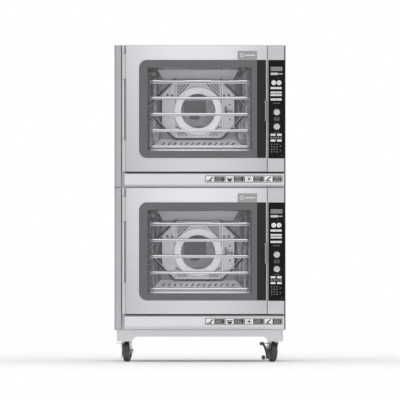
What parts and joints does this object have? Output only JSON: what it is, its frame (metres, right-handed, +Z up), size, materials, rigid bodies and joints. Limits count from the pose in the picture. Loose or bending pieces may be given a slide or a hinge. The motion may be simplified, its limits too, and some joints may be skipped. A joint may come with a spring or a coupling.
{
  "type": "combi steamer oven",
  "caption": "Stacked combi steamer ovens on a low caster stand, with glazed side-hung doors, wire racks, fan baffles and control columns.",
  "frame": {"origin": "on the floor under the centre of the overall box", "axes": "+Z up; the doors and controls face -Y; +X is to the right seen from the front, the side of the control columns"},
  "size_m": [0.906, 0.869, 1.6794],
  "materials": {
    "casing_steel": "satin stainless sheet, horizontal grain, on the wrappers",
    "front_steel": "bright satin stainless on doors, columns and fascias",
    "stand_steel": "satin stainless, folded and welded",
    "liner_steel": "semi-bright stainless, lightly heat-toned",
    "fan_steel": "pressed stainless",
    "wire_chrome": "bright wire",
    "handle_steel": "bright satin lever",
    "zinc": "zinc-plated pressed steel",
    "heater_alloy": "dull heater sheath",
    "motor_paint": "dark enamel",
    "door_glass": "clear window with a grey printed border and a black strip at the free edge",
    "panel_black": "satin black membrane panel",
    "key_white": "off-white moulded plastic",
    "silicone": "matt seal",
    "tyre_rubber": "solid dark rubber tyre"
  },
  "bodies": {
    "frame": {"stand_frame": "stand_steel", "lower_casing": "casing_steel", "lower_front_frame": "front_steel", "lower_cavity": "liner_steel", "lower_fan_baffle": "liner_steel", "lower_fan_motor": "motor_paint", "lower_heating_element": "heater_alloy", "lower_rack_ladder_left": "wire_chrome", "lower_rack_ladder_right": "wire_chrome", "lower_rack_1": "wire_chrome", "lower_rack_2": "wire_chrome", "lower_rack_3": "wire_chrome", "lower_rack_4": "wire_chrome", "lower_rack_5": "wire_chrome", "lower_door_gasket": "silicone", "lower_control_housing": "front_steel", "lower_control_panel": "panel_black", "upper_casing": "casing_steel", "upper_front_frame": "front_steel", "upper_cavity": "liner_steel", "upper_fan_baffle": "liner_steel", "upper_fan_motor": "motor_paint", "upper_heating_element": "heater_alloy", "upper_rack_ladder_left": "wire_chrome", "upper_rack_ladder_right": "wire_chrome", "upper_rack_1": "wire_chrome", "upper_rack_2": "wire_chrome", "upper_rack_3": "wire_chrome", "upper_rack_4": "wire_chrome", "upper_rack_5": "wire_chrome", "upper_door_gasket": "silicone", "upper_control_housing": "front_steel", "upper_control_panel": "panel_black"},
    "caster_front_left": {"caster_fork_front_left": "zinc"},
    "caster_front_left_wheel": {"caster_wheel_front_left": "tyre_rubber"},
    "caster_front_left_brake": {"brake_pedal_front_left": "zinc"},
    "caster_front_right": {"caster_fork_front_right": "zinc"},
    "caster_front_right_wheel": {"caster_wheel_front_right": "tyre_rubber"},
    "caster_front_right_brake": {"brake_pedal_front_right": "zinc"},
    "caster_rear_left": {"caster_fork_rear_left": "zinc"},
    "caster_rear_left_wheel": {"caster_wheel_rear_left": "tyre_rubber"},
    "caster_rear_right": {"caster_fork_rear_right": "zinc"},
    "caster_rear_right_wheel": {"caster_wheel_rear_right": "tyre_rubber"},
    "lower_door": {"lower_door_frame": "front_steel", "lower_door_glass": "door_glass"},
    "lower_handle": {"lower_door_handle": "handle_steel"},
    "lower_fan": {"lower_fan_wheel": "fan_steel"},
    "lower_knob_time": {"lower_knob_time": "key_white"},
    "lower_knob_temperature": {"lower_knob_temperature": "key_white"},
    "lower_button_start": {"lower_button_start": "key_white"},
    "lower_button_stop": {"lower_button_stop": "key_white"},
    "upper_door": {"upper_door_frame": "front_steel", "upper_door_glass": "door_glass"},
    "upper_handle": {"upper_door_handle": "handle_steel"},
    "upper_fan": {"upper_fan_wheel": "fan_steel"},
    "upper_knob_time": {"upper_knob_time": "key_white"},
    "upper_knob_temperature": {"upper_knob_temperature": "key_white"},
    "upper_button_start": {"upper_button_start": "key_white"},
    "upper_button_stop": {"upper_button_stop": "key_white"}
  },
  "joints": [
    {"name": "lower_door_hinge", "type": "hinge", "parent": "frame", "child": "lower_door", "pos_m": [-0.406, -0.4085, 0.57], "axis": [0, 0, -1], "range_deg": [0, 120]},
    {"name": "lower_handle_pivot", "type": "hinge", "parent": "lower_door", "child": "lower_handle", "pos_m": [0.348, -0.403, 0.622], "axis": [-1, 0, 0], "range_deg": [0, 20]},
    {"name": "lower_fan_spin", "type": "hinge", "parent": "frame", "child": "lower_fan", "pos_m": [-0.01, 0.212, 0.579], "axis": [0, -1, 0], "continuous": true},
    {"name": "lower_knob_time_turn", "type": "hinge", "parent": "frame", "child": "lower_knob_time", "pos_m": [0.407, -0.4178, 0.5686], "axis": [0, -1, 0], "continuous": true},
    {"name": "lower_knob_temperature_turn", "type": "hinge", "parent": "frame", "child": "lower_knob_temperature", "pos_m": [0.407, -0.4178, 0.4922], "axis": [0, -1, 0], "continuous": true},
    {"name": "lower_button_start_press", "type": "slide", "parent": "frame", "child": "lower_button_start", "axis": [0, 1, 0], "range_m": [0, 0.002], "stiffness_N_per_m": 400},
    {"name": "lower_button_stop_press", "type": "slide", "parent": "frame", "child": "lower_button_stop", "axis": [0, 1, 0], "range_m": [0, 0.002], "stiffness_N_per_m": 400},
    {"name": "upper_door_hinge", "type": "hinge", "parent": "frame", "child": "upper_door", "pos_m": [-0.406, -0.4085, 1.325], "axis": [0, 0, -1], "range_deg": [0, 120]},
    {"name": "upper_handle_pivot", "type": "hinge", "parent": "upper_door", "child": "upper_handle", "pos_m": [0.348, -0.403, 1.377], "axis": [-1, 0, 0], "range_deg": [0, 20]},
    {"name": "upper_fan_spin", "type": "hinge", "parent": "frame", "child": "upper_fan", "pos_m": [-0.01, 0.212, 1.334], "axis": [0, -1, 0], "continuous": true},
    {"name": "upper_knob_time_turn", "type": "hinge", "parent": "frame", "child": "upper_knob_time", "pos_m": [0.407, -0.4178, 1.3236], "axis": [0, -1, 0], "continuous": true},
    {"name": "upper_knob_temperature_turn", "type": "hinge", "parent": "frame", "child": "upper_knob_temperature", "pos_m": [0.407, -0.4178, 1.2472], "axis": [0, -1, 0], "continuous": true},
    {"name": "upper_button_start_press", "type": "slide", "parent": "frame", "child": "upper_button_start", "axis": [0, 1, 0], "range_m": [0, 0.002], "stiffness_N_per_m": 400},
    {"name": "upper_button_stop_press", "type": "slide", "parent": "frame", "child": "upper_button_stop", "axis": [0, 1, 0], "range_m": [0, 0.002], "stiffness_N_per_m": 400},
    {"name": "caster_front_left_swivel", "type": "hinge", "parent": "frame", "child": "caster_front_left", "pos_m": [-0.392, -0.313, 0.12], "axis": [0, 0, 1], "continuous": true},
    {"name": "caster_front_left_roll", "type": "hinge", "parent": "caster_front_left", "child": "caster_front_left_wheel", "pos_m": [-0.38714, -0.28542, 0.052], "axis": [0.9848, -0.1736, 0], "continuous": true},
    {"name": "caster_front_left_brake_tilt", "type": "hinge", "parent": "caster_front_left", "child": "caster_front_left_brake", "pos_m": [-0.38714, -0.28542, 0.052], "axis": [0.9848, -0.1736, 0], "range_deg": [0, 15]},
    {"name": "caster_front_right_swivel", "type": "hinge", "parent": "frame", "child": "caster_front_right", "pos_m": [0.392, -0.313, 0.12], "axis": [0, 0, 1], "continuous": true},
    {"name": "caster_front_right_roll", "type": "hinge", "parent": "caster_front_right", "child": "caster_front_right_wheel", "pos_m": [0.38428, -0.28608, 0.052], "axis": [0.9613, 0.2756, 0], "continuous": true},
    {"name": "caster_front_right_brake_tilt", "type": "hinge", "parent": "caster_front_right", "child": "caster_front_right_brake", "pos_m": [0.38428, -0.28608, 0.052], "axis": [0.9613, 0.2756, 0], "range_deg": [0, 15]},
    {"name": "caster_rear_left_swivel", "type": "hinge", "parent": "frame", "child": "caster_rear_left", "pos_m": [-0.392, 0.348, 0.12], "axis": [0, 0, 1], "continuous": true},
    {"name": "caster_rear_left_roll", "type": "hinge", "parent": "caster_rear_left", "child": "caster_rear_left_wheel", "pos_m": [-0.38714, 0.37557, 0.052], "axis": [0.9848, -0.1736, 0], "continuous": true},
    {"name": "caster_rear_right_swivel", "type": "hinge", "parent": "frame", "child": "caster_rear_right", "pos_m": [0.392, 0.348, 0.12], "axis": [0, 0, 1], "continuous": true},
    {"name": "caster_rear_right_roll", "type": "hinge", "parent": "caster_rear_right", "child": "caster_rear_right_wheel", "pos_m": [0.38428, 0.37491, 0.052], "axis": [0.9613, 0.2756, 0], "continuous": true}
  ]
}
